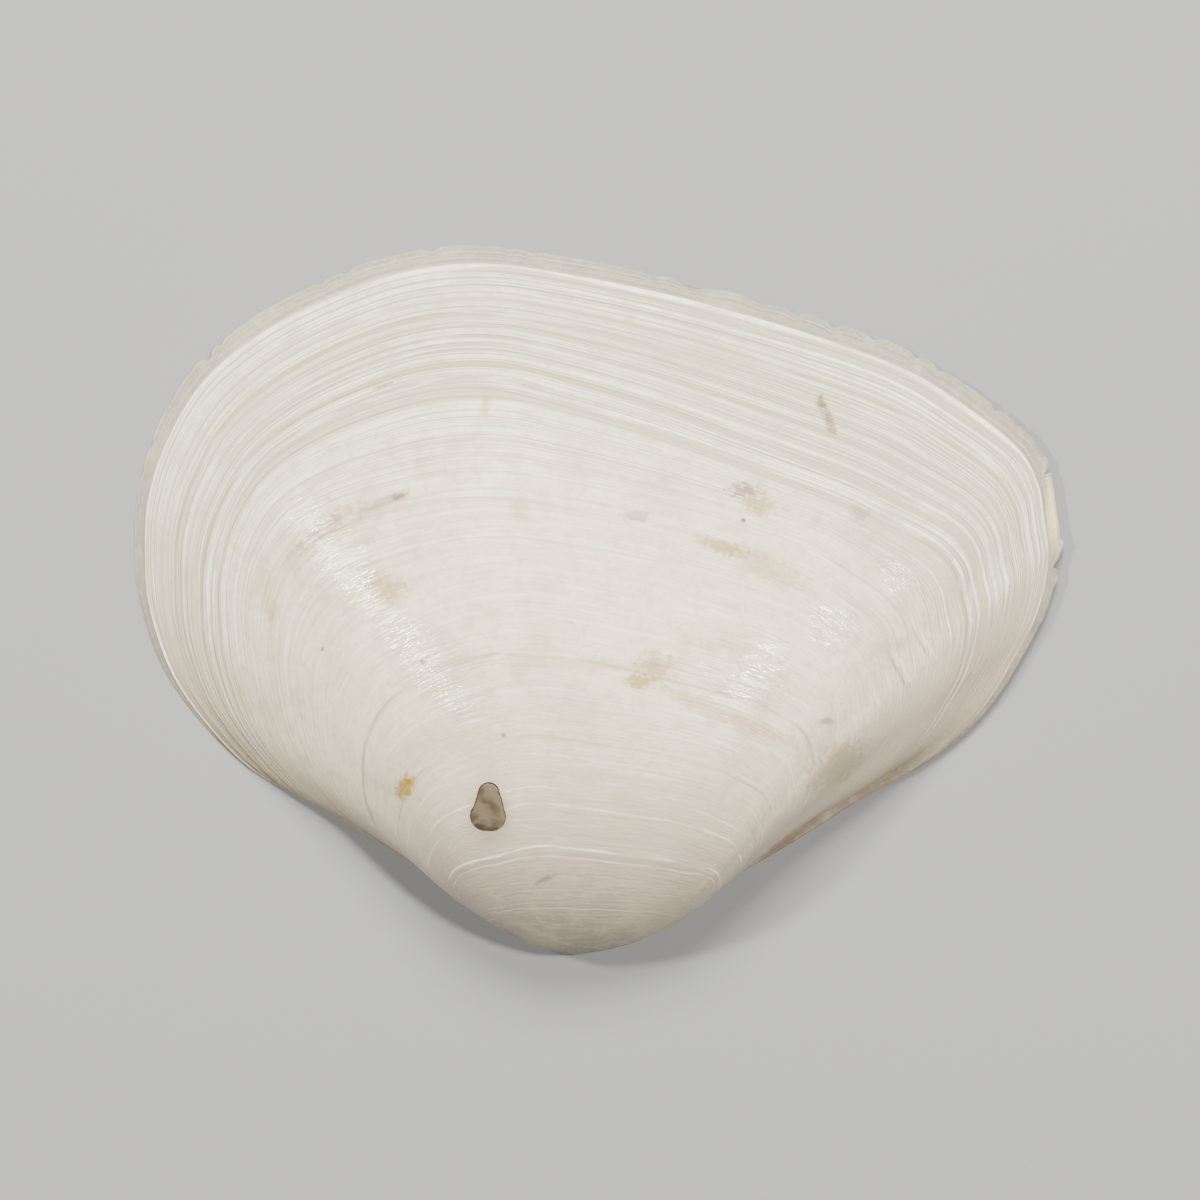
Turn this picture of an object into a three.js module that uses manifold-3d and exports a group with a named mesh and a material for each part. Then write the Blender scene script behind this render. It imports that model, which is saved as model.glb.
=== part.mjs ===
// One valve of a marine bivalve, lying hollow side down.
// Millimetres. +X is the rear end, +Y the lower margin, +Z the outer face. It rests on its rim.
//
// A bivalve grows by adding a rim to its edge, each rim a little larger than the last and a little
// further round the hinge. So every growth ring has the outline of the adult margin, drawn smaller,
// in a plane of its own that has turned about the hinge axis. The outer face is the pile of those
// rings, and the inner face is the same pile drawn in by the thickness of the wall.

import * as THREE from 'three';
import { mergeVertices } from 'three/addons/utils/BufferGeometryUtils.js';
import Module from 'manifold-3d';

// Adult margin, measured from the hinge axis under the beak: along the front end, the lower
// margin, the blunt rear end and the straight rear slope.
const MARGIN = [
  [0.0, 0.6], [-5.2, 1.8], [-11.4, 5.0], [-15.6, 7.6], [-19.8, 9.85], [-22.7, 12.7], [-24.9, 15.9],
  [-26.2, 19.8], [-26.4, 23.1], [-26.1, 26.6], [-25.0, 30.0], [-22.9, 33.5], [-19.7, 36.3],
  [-15.6, 38.6], [-11.0, 40.3], [-6.2, 40.9], [-1.2, 40.4], [6.2, 38.95], [13.5, 36.95],
  [20.0, 34.6], [24.1, 32.0], [26.9, 29.6], [28.0, 27.4], [28.3, 25.2], [28.6, 22.9], [28.1, 19.8],
  [26.9, 17.2], [24.6, 13.6], [21.45, 11.05], [15.2, 8.35], [8.3, 4.2], [4.1, 1.5],
];
const MIDDLE = [1.1, 20.7];            // centre of the margin, which the wall is drawn in towards
const HALF_LENGTH = 27.5;
const HALF_HEIGHT = 20.4;

// Growth
const TIGHTNESS = 1.36;                // how fast a ring shrinks as it turns back about the hinge
const YOUNG_WIDENING = 0.4;            // the young shell was longer for its height
const YOUNG_SPREAD = 0.27;
const REAR_BEND = 0.7;                 // the rear end bends towards this valve's outer side
const REAR_BEND_FROM = 14;
const REAR_BEND_TO = 30;

// Wall
const RIM_WIDTH = 0.6;
const WALL_INSET = 1.75;               // measured in the ring's plane; the wall is about 1 mm thick
const INSET_FULL_AT = 0.86;            // growth stage where the wall has its full thickness
const HINGE_PLATE = 1.5;               // extra width of the hinge plate under the beak
const HINGE_PLATE_REACH = 8;

// Rings of the outer face, from the margin to the beak: [stage, height]. Ridges stand proud, and
// grooves mark where growth stopped.
const OUTER_RINGS = [
  [1, 0], [0.985, 0], [0.969, 0.16], [0.955, -0.02], [0.94, 0.13], [0.921, 0], [0.902, -0.12],
  [0.879, 0.15], [0.862, 0], [0.845, -0.12], [0.82, 0.2], [0.8, 0.02], [0.784, 0.02], [0.776, -0.12],
  [0.765, 0], [0.74, -0.05], [0.7, 0], [0.667, 0.03], [0.656, -0.12], [0.644, 0], [0.59, 0],
  [0.53, 0], [0.483, 0.03], [0.473, -0.14], [0.46, 0], [0.41, 0], [0.38, -0.06], [0.34, 0],
  [0.3, 0], [0.268, 0], [0.256, -0.12], [0.236, 0.14], [0.2, 0], [0.155, 0], [0.115, 0],
  [0.08, 0], [0.055, 0], [0.037, 0], [0.024, 0],
];
const INNER_STAGES = [1, 0.975, 0.93, 0.86, 0.74, 0.6, 0.46, 0.32, 0.2];
const RIDGES_FADE_BELOW = 2;           // height above the hinge axis where the ridges die out
const RIDGES_FULL_ABOVE = 7;
const POINTS_PER_SPAN = 3;             // ring points between two points of the margin

// The rings ran ahead at the lower front and lagged at the lower rear: [place round the margin,
// spread, stage, stage spread, lead]
const GROWTH_LEADS = [
  [0.32, 0.088, 0.68, 0.13, 0.046],
  [0.582, 0.085, 0.83, 0.1, -0.045],
];

// Flange that carried the ligament, along the rear slope
const FLANGE_WIDTH = 1.4;
const FLANGE_PLACE = 0.92;
const FLANGE_SPREAD = 0.043;
const FLANGE_STAGES = [0.88, 0.96];

// Hole drilled by a predatory snail: lobes that run together into a pear. [x, y, radius]
const BORE_LOBES = [
  [-5.5, 7.04, 0.92], [-5.14, 7.04, 0.92], [-5.27, 7.5, 0.9], [-5.25, 8.05, 0.72], [-5.25, 8.42, 0.63],
];
const BORE_SIDES = 18;
const BORE_BOTTOM = 3;
const BORE_TOP = 12;

// Chips out of the margin: [place round the margin, radius, bite]
const CHIPS = [
  [0.363, 0.75, 0.45], [0.322, 0.6, 0.25], [0.452, 0.6, 0.2], [0.545, 1.1, 0.28], [0.573, 0.8, 0.25],
  [0.645, 0.7, 0.2], [0.697, 0.55, 0.4], [0.757, 0.6, 0.35],
];
const CHIP_SIDES = 7;
const CHIP_DEPTH = 4;                  // taller than the rim is anywhere

// Hinge: two small cardinal teeth under the beak, and the nymph that held the ligament
const TEETH = [[-0.5, 2.7, 0.45], [0.9, 2.6, -0.25]];     // x, y, slant
const TOOTH_LENGTH = 1.5;
const TOOTH_WIDTH = 0.5;
const TOOTH_TIP = 0.12;                // height above the rim's plane
const TOOTH_ROOT = 1.3;
const NYMPH_FROM = [2.6, 2.5];
const NYMPH_TO = [8.6, 5.9];
const NYMPH_WIDTH = 0.9;
const NYMPH_TIP = 0.24;
const BAR_FLARE = 0.15;                // how much wider a tooth is at its root, on each side
const BAR_SIDES = 8;

const SHELL_COLOUR = 0xe2ddd2;

const margin = new THREE.CatmullRomCurve3(
  MARGIN.map(([x, y]) => new THREE.Vector3(x, y, 0)), true, 'catmullrom', 0.5);

function bump(value, centre, spread) {
  return Math.exp(-(((value - centre) / spread) ** 2));
}

// Outward direction of the margin at a place round it, in its own plane.
function outward(place) {
  const tangent = margin.getTangent(place);
  return new THREE.Vector2(-tangent.y, tangent.x);
}

// How much of a ridge's height is left at a place: ridges die out along the hinge line.
function ridgeStrength(place) {
  return THREE.MathUtils.smoothstep(margin.getPoint(place).y, RIDGES_FADE_BELOW, RIDGES_FULL_ABOVE);
}

// Size of the ring against the adult, at one place: the stage with its lead or lag.
function ringScale(stage, place) {
  let scale = stage;
  for (const [at, spread, when, whenSpread, lead] of GROWTH_LEADS) {
    scale += lead * bump(place, at, spread) * bump(stage, when, whenSpread);
  }
  return Math.min(scale, 1);
}

// Stands a point of a ring's own plane up at its turn about the hinge axis.
function standUp(x, y, scale) {
  const turn = -Math.log(scale) / TIGHTNESS;
  const bend = REAR_BEND * THREE.MathUtils.smoothstep(x, REAR_BEND_FROM, REAR_BEND_TO);
  return new THREE.Vector3(x, y * Math.cos(turn), y * Math.sin(turn) + bend);
}

function ringWidth(scale) {
  return scale * (1 + YOUNG_WIDENING * bump(scale, 0, YOUNG_SPREAD));
}

function flangeWidth(stage, place) {
  return FLANGE_WIDTH * bump(place, FLANGE_PLACE, FLANGE_SPREAD)
    * THREE.MathUtils.smoothstep(stage, ...FLANGE_STAGES);
}

function outerPoint([stage, height], place) {
  const scale = ringScale(stage, place);
  const edge = margin.getPoint(place);
  const out = outward(place);
  const rise = flangeWidth(stage, place) + height * ridgeStrength(place);
  return standUp(edge.x * ringWidth(scale) + out.x * rise, edge.y * scale + out.y * rise, scale);
}

function innerPoint(stage, place) {
  const edge = margin.getPoint(place);
  const out = outward(place);
  const depth = 1 - THREE.MathUtils.smoothstep(stage, INSET_FULL_AT, 1);
  const inset = THREE.MathUtils.lerp(RIM_WIDTH, WALL_INSET, depth);
  const flange = flangeWidth(stage, place);
  const plate = HINGE_PLATE * depth * bump(Math.hypot(edge.x, edge.y), 0, HINGE_PLATE_REACH);
  const width = ringWidth(stage) / stage;
  const x = MIDDLE[0] + (edge.x - MIDDLE[0]) * (1 - inset / (stage * HALF_LENGTH));
  const y = MIDDLE[1] + (edge.y - MIDDLE[1]) * (1 - inset / (stage * HALF_HEIGHT));
  return standUp(x * stage * width + out.x * flange, y * stage + out.y * flange + plate, stage);
}

// Closed skin through a pile of rings, with a point to close each end.
function skinRings(rings) {
  const count = rings[0].length;
  const points = rings.flat();
  const faces = [];
  for (let ring = 0; ring + 1 < rings.length; ring++) {
    for (let i = 0; i < count; i++) {
      const a = ring * count + i;
      const b = ring * count + ((i + 1) % count);
      faces.push(a, b, a + count, b, b + count, a + count);
    }
  }
  const closeEnd = (ring, flip) => {
    const centre = new THREE.Vector3();
    rings[ring].forEach((point) => centre.addScaledVector(point, 1 / count));
    points.push(centre);
    for (let i = 0; i < count; i++) {
      const a = ring * count + i;
      const b = ring * count + ((i + 1) % count);
      faces.push(flip ? a : b, flip ? b : a, points.length - 1);
    }
  };
  closeEnd(0, false);
  closeEnd(rings.length - 1, true);
  const geometry = new THREE.BufferGeometry().setFromPoints(points);
  geometry.setIndex(faces);
  return geometry;
}

function valveSkin() {
  const count = MARGIN.length * POINTS_PER_SPAN;
  const ringOf = (point, ring) => Array.from({ length: count }, (_, i) => point(ring, i / count));
  const outer = OUTER_RINGS.map((ring) => ringOf(outerPoint, ring)).reverse();
  const inner = INNER_STAGES.map((stage) => ringOf(innerPoint, stage));
  return skinRings([...outer, ...inner]);
}

function boreCutters() {
  return BORE_LOBES.map(([x, y, radius]) => new THREE.CylinderGeometry(
    radius, radius, BORE_TOP - BORE_BOTTOM, BORE_SIDES)
    .rotateX(Math.PI / 2)
    .translate(x, y, (BORE_TOP + BORE_BOTTOM) / 2));
}

function chipCutter([place, radius, bite]) {
  const edge = margin.getPoint(place);
  const out = outward(place);
  const reach = radius - bite;
  return new THREE.CylinderGeometry(radius, radius, CHIP_DEPTH, CHIP_SIDES)
    .rotateX(Math.PI / 2)
    .translate(edge.x + out.x * reach, edge.y + out.y * reach, 0);
}

// Low rounded bar on the hinge plate, between two heights.
function hingeBar(length, width, tip, root) {
  return new THREE.CylinderGeometry(width / 2 + BAR_FLARE, width / 2, root - tip, BAR_SIDES)
    .rotateX(Math.PI / 2)
    .scale(length / width, 1, 1)
    .translate(0, 0, (root + tip) / 2);
}

function hingeTeeth() {
  return TEETH.map(([x, y, slant]) => hingeBar(TOOTH_LENGTH, TOOTH_WIDTH, TOOTH_TIP, TOOTH_ROOT)
    .rotateZ(Math.PI / 2 + slant)
    .translate(x, y, 0));
}

function nymph() {
  const run = new THREE.Vector2(...NYMPH_TO).sub(new THREE.Vector2(...NYMPH_FROM));
  return hingeBar(run.length(), NYMPH_WIDTH, NYMPH_TIP, TOOTH_ROOT)
    .rotateZ(run.angle())
    .translate((NYMPH_FROM[0] + NYMPH_TO[0]) / 2, (NYMPH_FROM[1] + NYMPH_TO[1]) / 2, 0);
}

const wasm = await Module();
wasm.setup();

function toSolid(geometry) {
  const bare = geometry.clone();
  bare.deleteAttribute('normal');
  bare.deleteAttribute('uv');
  const merged = mergeVertices(bare, 1e-4);
  return new wasm.Manifold(new wasm.Mesh({
    numProp: 3,
    vertProperties: merged.attributes.position.array,
    triVerts: new Uint32Array(merged.index.array),
  }));
}

function toGeometry(solid) {
  const { vertProperties, triVerts } = solid.getMesh();
  const geometry = new THREE.BufferGeometry();
  geometry.setAttribute('position', new THREE.BufferAttribute(vertProperties, 3));
  geometry.setIndex(new THREE.BufferAttribute(triVerts, 1));
  return geometry;
}

function buildValve() {
  let solid = toSolid(valveSkin());
  for (const bar of [...hingeTeeth(), nymph()]) solid = solid.add(toSolid(bar));
  for (const cutter of [...boreCutters(), ...CHIPS.map(chipCutter)]) solid = solid.subtract(toSolid(cutter));
  return toGeometry(solid);
}

// Puts the middle of the valve's length and height over the origin, with the rim on the ground.
function centreOnGround(geometry) {
  geometry.computeBoundingBox();
  const { min, max } = geometry.boundingBox;
  geometry.translate(-(min.x + max.x) / 2, -(min.y + max.y) / 2, -min.z);
  geometry.computeVertexNormals();
  return geometry;
}

const shell = new THREE.MeshStandardMaterial({
  color: SHELL_COLOUR, roughness: 0.45, metalness: 0, flatShading: true,
});
const valve = new THREE.Mesh(centreOnGround(buildValve()), shell);
valve.name = 'right_valve';

const group = new THREE.Group();
group.add(valve);

export default group;
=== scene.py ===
"""One valve of a tellin-like bivalve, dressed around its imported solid.

The valve is modelled again, finely, from the rule that the animal grew it by: every growth ring has
the outline of the adult margin, drawn smaller, in a plane of its own that has turned about the hinge.
Sizes are in millimetres until a mesh is finished, and then in metres.
"""

import logging
import math
from dataclasses import dataclass, field
from enum import Enum
from typing import Any

import bpy
import numpy as np
from mathutils import Matrix, Vector


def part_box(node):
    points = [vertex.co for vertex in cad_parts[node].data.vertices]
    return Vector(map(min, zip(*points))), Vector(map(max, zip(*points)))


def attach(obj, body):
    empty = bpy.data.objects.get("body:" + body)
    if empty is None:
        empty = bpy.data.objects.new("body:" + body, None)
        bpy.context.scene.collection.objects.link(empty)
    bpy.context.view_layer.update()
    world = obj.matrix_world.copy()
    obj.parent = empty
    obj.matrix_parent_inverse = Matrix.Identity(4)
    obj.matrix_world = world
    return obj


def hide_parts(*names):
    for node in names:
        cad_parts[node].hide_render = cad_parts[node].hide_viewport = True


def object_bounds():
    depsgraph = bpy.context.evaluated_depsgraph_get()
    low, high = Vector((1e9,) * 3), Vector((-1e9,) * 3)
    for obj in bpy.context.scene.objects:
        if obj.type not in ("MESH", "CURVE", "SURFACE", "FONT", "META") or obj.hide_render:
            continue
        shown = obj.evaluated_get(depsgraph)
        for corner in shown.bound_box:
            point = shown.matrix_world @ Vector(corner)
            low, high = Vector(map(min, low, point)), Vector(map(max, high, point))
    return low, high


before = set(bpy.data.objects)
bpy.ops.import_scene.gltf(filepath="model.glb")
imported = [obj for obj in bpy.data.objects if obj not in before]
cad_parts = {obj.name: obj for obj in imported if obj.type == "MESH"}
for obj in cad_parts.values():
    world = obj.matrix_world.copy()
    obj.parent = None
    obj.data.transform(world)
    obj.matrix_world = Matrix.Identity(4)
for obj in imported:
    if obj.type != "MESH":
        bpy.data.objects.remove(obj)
cad_low, cad_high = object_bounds()

LOG = logging.getLogger("valve")
MM = 0.001
BODY = "root"
NODE = "right_valve"
FRAME_PIXELS = 1200
PIXEL_MM = 0.05927                     # what one pixel of the picture measures on the shell
VIEW_CENTRE = (599.0, 599.0)           # pixel that the middle of the valve's length and height falls on
MARGIN_LENGTH = 155.0                  # once round the margin
RING_RUN = 41.0                        # from the beak to the lower margin, across the rings


def smoothstep(low: float, high: float, value: np.ndarray) -> np.ndarray:
    """Rises from 0 at low to 1 at high, level at both ends."""
    part = np.clip((value - low) / (high - low), 0.0, 1.0)
    return part * part * (3.0 - 2.0 * part)


def bump(value: np.ndarray, centre: float, spread: float) -> np.ndarray:
    """A bell of height 1 at centre."""
    return np.exp(-(((value - centre) / spread) ** 2))


def from_pixel(column: float, row: float) -> tuple[float, float]:
    """Place on the valve seen from above, in millimetres, of a pixel of the picture."""
    return (column - VIEW_CENTRE[0]) * PIXEL_MM, (VIEW_CENTRE[1] - row) * PIXEL_MM


@dataclass(frozen=True)
class SmoothNoise:
    """Repeatable noise from -1 to 1, eased between seeded random values on a lattice.

    Args:
        seed: Start of the random draw.
        waves: Lattice cells once round the margin, and from the beak to the margin.
        cells: Lattice points each way before it repeats.
    """

    seed: int
    waves: tuple[float, float]
    cells: int = 257

    def sheet(self, place: np.ndarray, stage: np.ndarray) -> np.ndarray:
        """Noise over places and stages.

        Args:
            place: Places round the margin.
            stage: Growth stages.

        Returns:
            The noise, in the shape that the two make together.
        """
        table = np.random.default_rng(self.seed).uniform(-1.0, 1.0, (self.cells, self.cells))
        x, y = np.broadcast_arrays(place * self.waves[0], stage * self.waves[1])
        left, low = np.floor(x).astype(int), np.floor(y).astype(int)
        across, up = smoothstep(0.0, 1.0, x - left), smoothstep(0.0, 1.0, y - low)
        rows, columns = low % self.cells, left % self.cells
        next_rows, next_columns = (low + 1) % self.cells, (left + 1) % self.cells
        bottom = table[rows, columns] * (1.0 - across) + table[rows, next_columns] * across
        top = table[next_rows, columns] * (1.0 - across) + table[next_rows, next_columns] * across
        return bottom * (1.0 - up) + top * up


@dataclass(frozen=True)
class Lead:
    """A stretch of the margin that grew ahead of the rest for a while.

    Args:
        place: Where it is round the margin.
        spread: How far it reaches round the margin, in places.
        stage: When it was furthest ahead.
        stage_spread: How long that lasted, in stages.
        size: How far ahead it was, in stages; below 0 it lagged.
    """

    place: float
    spread: float
    stage: float
    stage_spread: float
    size: float


@dataclass(frozen=True)
class Growth:
    """How the valve grew: the adult margin, and the rule that turns and shrinks it.

    Stages run from 0 at the beak to 1 at the margin, and places from 0 under the beak round the front
    end, the lower margin and the rear end back to 1.
    """

    margin: tuple[tuple[float, float], ...] = (
        (0.0, 0.6), (-5.2, 1.8), (-11.4, 5.0), (-15.6, 7.6), (-19.8, 9.85), (-22.7, 12.7), (-24.9, 15.9),
        (-26.2, 19.8), (-26.4, 23.1), (-26.1, 26.6), (-25.0, 30.0), (-22.9, 33.5), (-19.7, 36.3),
        (-15.6, 38.6), (-11.0, 40.3), (-6.2, 40.9), (-1.2, 40.4), (6.2, 38.95), (13.5, 36.95),
        (20.0, 34.6), (24.1, 32.0), (26.9, 29.6), (28.0, 27.4), (28.3, 25.2), (28.6, 22.9), (28.1, 19.8),
        (26.9, 17.2), (24.6, 13.6), (21.45, 11.05), (15.2, 8.35), (8.3, 4.2), (4.1, 1.5),
    )
    middle: tuple[float, float] = (1.1, 20.7)
    half_length: float = 27.5
    half_height: float = 20.4
    tightness: float = 1.36
    young_widening: float = 0.4
    young_spread: float = 0.27
    rear_bend: float = 0.7
    rear_bend_from: float = 14.0
    rear_bend_to: float = 30.0
    rim_width: float = 0.6
    wall_inset: float = 1.75
    inset_full_at: float = 0.86
    hinge_plate: float = 1.5
    hinge_plate_reach: float = 8.0
    hinge_plate_stages: tuple[float, float] = (0.1, 0.3)
    flange_width: float = 1.4
    flange_place: float = 0.92
    flange_spread: float = 0.043
    flange_stages: tuple[float, float] = (0.88, 0.96)
    leads: tuple[Lead, ...] = (Lead(0.32, 0.088, 0.68, 0.13, 0.046), Lead(0.582, 0.085, 0.83, 0.1, -0.045))

    def edge(self, place: np.ndarray) -> tuple[np.ndarray, np.ndarray]:
        """Points of the adult margin, on a smooth closed curve through its marks.

        Args:
            place: Places round the margin.

        Returns:
            The points' x and y.
        """
        marks = np.array(self.margin)
        count = len(marks)
        along = (place % 1.0) * count
        span = np.floor(along).astype(int)
        part = (along - span)[..., None]
        before, start, end, after = (marks[(span + step) % count] for step in (-1, 0, 1, 2))
        point = 0.5 * (2 * start + (end - before) * part
                       + (2 * before - 5 * start + 4 * end - after) * part**2
                       + (3 * start - before - 3 * end + after) * part**3)
        return point[..., 0], point[..., 1]

    def outward(self, place: np.ndarray) -> tuple[np.ndarray, np.ndarray]:
        """Outward direction of the margin, in its own plane."""
        step = 1e-4
        ahead, behind = self.edge(place + step), self.edge(place - step)
        run, climb = ahead[0] - behind[0], ahead[1] - behind[1]
        length = np.hypot(run, climb)
        return -climb / length, run / length

    def width(self, scale: np.ndarray) -> np.ndarray:
        """Length of a ring against the adult's: the young shell was longer for its height."""
        return scale * (1.0 + self.young_widening * bump(scale, 0.0, self.young_spread))

    def flange(self, stage: np.ndarray, place: np.ndarray) -> np.ndarray:
        """How far the ligament's flange stands out along the rear slope."""
        return self.flange_width * bump(place, self.flange_place, self.flange_spread) * smoothstep(
            *self.flange_stages, stage)

    def scale(self, stage: np.ndarray, place: np.ndarray) -> np.ndarray:
        """Size of the ring against the adult at one place: its stage, with its lead or lag."""
        scale = stage + 0.0 * place
        for lead in self.leads:
            scale = scale + lead.size * bump(place, lead.place, lead.spread) * bump(
                stage, lead.stage, lead.stage_spread)
        return scale

    def stand_up(self, x: np.ndarray, y: np.ndarray, scale: np.ndarray) -> np.ndarray:
        """Turns points of a ring's plane to where that plane stands about the hinge.

        Args:
            x: Along the hinge.
            y: Away from the hinge, in the ring's plane.
            scale: Size of the ring against the adult, which says how far it has turned.

        Returns:
            The points, with x, y and z last.
        """
        turn = -np.log(np.minimum(scale, 1.0)) / self.tightness
        bend = self.rear_bend * smoothstep(self.rear_bend_from, self.rear_bend_to, x)
        return np.stack(np.broadcast_arrays(x, y * np.cos(turn), y * np.sin(turn) + bend), axis=-1)

    def outer(self, stage: np.ndarray, place: np.ndarray, rise: np.ndarray) -> np.ndarray:
        """Points of the outer face.

        Args:
            stage: Growth stages.
            place: Places round the rings.
            rise: Relief, measured in the ring's own plane.

        Returns:
            The points, in millimetres from the hinge.
        """
        scale = self.scale(stage, place)
        x, y = self.edge(place)
        out_x, out_y = self.outward(place)
        rise = rise + self.flange(stage, place)
        return self.stand_up(x * self.width(scale) + out_x * rise, y * scale + out_y * rise, scale)

    def inner(self, stage: np.ndarray, place: np.ndarray, rise: np.ndarray) -> np.ndarray:
        """Points of the inner face, with the same arguments and result as the outer face."""
        x, y = self.edge(place)
        out_x, out_y = self.outward(place)
        depth = 1.0 - smoothstep(self.inset_full_at, 1.0, stage)
        inset = self.rim_width + (self.wall_inset - self.rim_width) * depth
        rise = rise + self.flange(stage, place)
        plate = self.hinge_plate * depth * bump(np.hypot(x, y), 0.0, self.hinge_plate_reach)
        plate = plate * smoothstep(*self.hinge_plate_stages, stage)
        in_x = self.middle[0] + (x - self.middle[0]) * (1.0 - inset / (stage * self.half_length))
        in_y = self.middle[1] + (y - self.middle[1]) * (1.0 - inset / (stage * self.half_height))
        x, y = in_x * self.width(stage) + out_x * rise, in_y * stage + out_y * rise + plate
        return self.stand_up(x, y, stage)


@dataclass(frozen=True)
class Mark:
    """A line that growth left on the outer face.

    Args:
        stage: Where it lies.
        height: How proud it stands, in millimetres; below 0 for a groove.
        half: Half its width, in stages.
    """

    stage: float
    height: float
    half: float


@dataclass(frozen=True)
class Chip:
    """A chip out of the margin, or below 0 a spur left standing.

    Args:
        place: Where it is round the margin.
        depth: How far it cuts in, in millimetres.
        half: Half its width, in millimetres.
    """

    place: float
    depth: float
    half: float


@dataclass(frozen=True)
class Sculpture:
    """Everything raised or sunk on the outer face: ridges, grooves, threads, unevenness and chips."""

    marks: tuple[Mark, ...] = (
        Mark(0.988, -0.02, 0.003), Mark(0.97, 0.085, 0.0025), Mark(0.962, -0.04, 0.003),
        Mark(0.953, 0.075, 0.004), Mark(0.938, 0.085, 0.0045), Mark(0.919, -0.03, 0.004),
        Mark(0.902, -0.035, 0.006), Mark(0.885, 0.08, 0.0035), Mark(0.873, 0.07, 0.0035),
        Mark(0.863, 0.07, 0.0035), Mark(0.845, -0.035, 0.005), Mark(0.823, 0.085, 0.003),
        Mark(0.815, -0.06, 0.003), Mark(0.807, 0.07, 0.0028), Mark(0.792, -0.03, 0.003),
        Mark(0.774, -0.06, 0.003), Mark(0.74, -0.025, 0.01), Mark(0.656, -0.055, 0.003),
        Mark(0.612, -0.02, 0.004), Mark(0.473, -0.075, 0.004), Mark(0.462, 0.03, 0.006),
        Mark(0.38, -0.04, 0.0025), Mark(0.33, -0.03, 0.003), Mark(0.318, 0.02, 0.003),
        Mark(0.29, -0.035, 0.003), Mark(0.258, -0.055, 0.0035), Mark(0.247, 0.06, 0.003),
        Mark(0.216, -0.025, 0.003), Mark(0.196, -0.02, 0.003), Mark(0.166, -0.02, 0.003),
    )
    chips: tuple[Chip, ...] = (
        Chip(0.274, 0.15, 0.3), Chip(0.289, 0.16, 0.3), Chip(0.3041, 0.18, 0.3), Chip(0.3525, 0.36, 0.4),
        Chip(0.3603, 0.2, 0.3), Chip(0.4078, 0.16, 0.3), Chip(0.4181, 0.14, 0.25),
        Chip(0.4522, 0.16, 0.3), Chip(0.4822, 0.1, 0.25), Chip(0.4912, 0.14, 0.35),
        Chip(0.5241, 0.16, 0.35), Chip(0.5338, 0.26, 0.75), Chip(0.5512, 0.2, 0.5),
        Chip(0.5603, 0.22, 0.25), Chip(0.5706, 0.26, 0.25), Chip(0.5816, 0.18, 0.25),
        Chip(0.595, 0.24, 0.25), Chip(0.6041, 0.22, 0.22), Chip(0.6331, 0.3, 0.3),
        Chip(0.6462, 0.2, 0.25), Chip(0.6775, -0.18, 0.3), Chip(0.686, 0.42, 0.24),
        Chip(0.6897, -0.12, 0.2), Chip(0.7488, -0.26, 0.5), Chip(0.7597, 0.52, 0.35),
        Chip(0.7697, -0.2, 0.45), Chip(0.7953, -0.08, 0.7),
    )
    slope_of_wall: float = 0.59            # rise square to the face, for each unit in the ring's plane
    stray: SmoothNoise = SmoothNoise(11, (5.0, 7.0))
    stray_reach: float = 0.0016            # how far a ring strays from its stage
    stray_stages: tuple[float, float] = (1.0, 0.97)     # from none at the margin, to all of it
    mark_seed: int = 40
    mark_waves: tuple[float, float] = (5.0, 0.0)
    mark_strength: float = 0.85
    mark_swing: float = 0.4
    threads: tuple[tuple[float, float], ...] = ((0.38, 1.0), (0.24, 0.8))   # how far apart, and how strong
    thread_seed: int = 71
    thread_waves: float = 2.6
    thread_height: float = 0.02
    thread_stages: tuple[float, float] = (0.68, 0.8)    # between which they grow to their full height
    young_thread: float = 0.1              # share of that height over the young shell
    uneven: SmoothNoise = SmoothNoise(90, (14.0, 6.0))
    unevenness: float = 0.05
    nicks: tuple[tuple[float, SmoothNoise], ...] = (    # the ragged edge: shares, and their patterns
        (0.6, SmoothNoise(5, (150.0, 0.0))), (0.4, SmoothNoise(6, (330.0, 0.0))))
    nicks_middle: float = 0.3
    ragged_depth: float = 0.07
    ragged_from: tuple[float, float] = (0.25, 0.32)
    ragged_to: tuple[float, float] = (0.84, 0.78)
    smooth_rear: tuple[float, float] = (0.735, 0.765)
    rear_share: float = 0.07               # of the relief, that is left beyond smooth_rear
    smooth_front: tuple[float, float] = (0.16, 0.3)
    front_share: float = 0.4               # and before smooth_front
    smooth_hinge: tuple[float, float] = (1.5, 6.0)      # millimetres from the hinge line
    chip_from: float = 0.974
    chip_run: float = 40.0                 # millimetres to a stage, where the chips are
    fold_place: float = 0.735              # the rear fold, from the beak to the rear corner
    fold_spread: float = 0.04
    fold_height: float = 0.03
    fold_stages: tuple[float, float] = (0.15, 0.45)
    dip_place: float = 0.79                # the dip between the fold and the hinge
    dip_spread: float = 0.03
    dip_depth: float = 0.021
    groove_place: float = 0.862            # the groove that the ligament lay along
    groove_spread: float = 0.008
    groove_stage: float = 0.54
    groove_stage_spread: float = 0.1
    groove_depth: float = 0.22

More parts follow.
